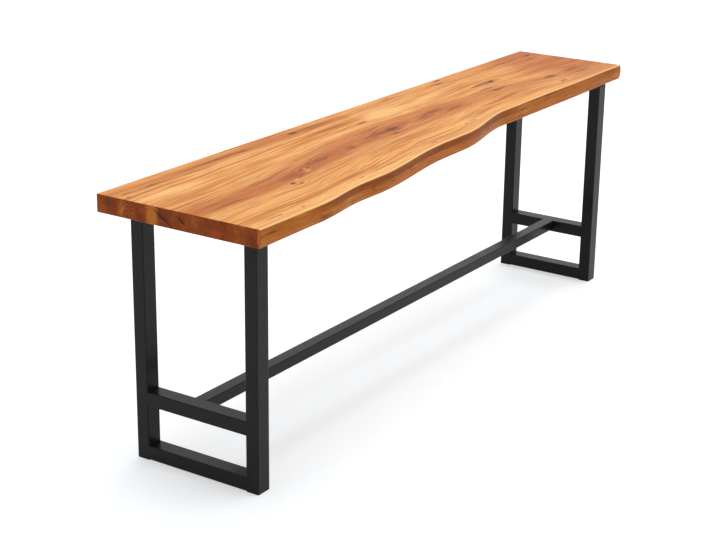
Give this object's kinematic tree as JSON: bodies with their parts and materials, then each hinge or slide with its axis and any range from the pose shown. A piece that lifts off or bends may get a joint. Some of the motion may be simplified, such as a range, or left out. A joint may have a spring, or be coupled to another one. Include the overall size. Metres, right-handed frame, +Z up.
{
  "type": "bar table",
  "caption": "Long bar-height table: a thick live-edge timber slab on two welded rectangular-tube end frames tied by a low stretcher that serves as the foot rail.",
  "frame": {"origin": "on the floor under the middle of the slab's box", "axes": "+X along the slab towards its narrow end, +Y across it towards the straight rear edge, +Z up from the floor"},
  "size_m": [2.945, 0.685, 1],
  "materials": {
    "oiled_wood": "sanded hardwood slab, satin oil",
    "coated_steel": "black satin powder coat on rectangular steel tube",
    "black_screw": "black oxide socket screws",
    "zinc_steel": "bright zinc plated bolts and washers",
    "brass": "plain turned brass inserts",
    "glide_plastic": "black moulded polyethylene plugs"
  },
  "bodies": {
    "root": {"slab_top": "oiled_wood", "threaded_inserts": "brass", "slab_bolts": "zinc_steel", "slab_bolt_washers": "zinc_steel", "stretcher": "coated_steel", "stretcher_screws": "black_screw", "leg_left_front": "coated_steel", "leg_left_rear": "coated_steel", "floor_glide_left_front": "glide_plastic", "floor_glide_left_rear": "glide_plastic", "bottom_rail_left": "coated_steel", "cross_rail_left": "coated_steel", "top_plate_left": "coated_steel", "stretcher_spigot_left": "coated_steel", "leg_right_front": "coated_steel", "leg_right_rear": "coated_steel", "floor_glide_right_front": "glide_plastic", "floor_glide_right_rear": "glide_plastic", "bottom_rail_right": "coated_steel", "cross_rail_right": "coated_steel", "top_plate_right": "coated_steel", "stretcher_spigot_right": "coated_steel"}
  },
  "joints": []
}
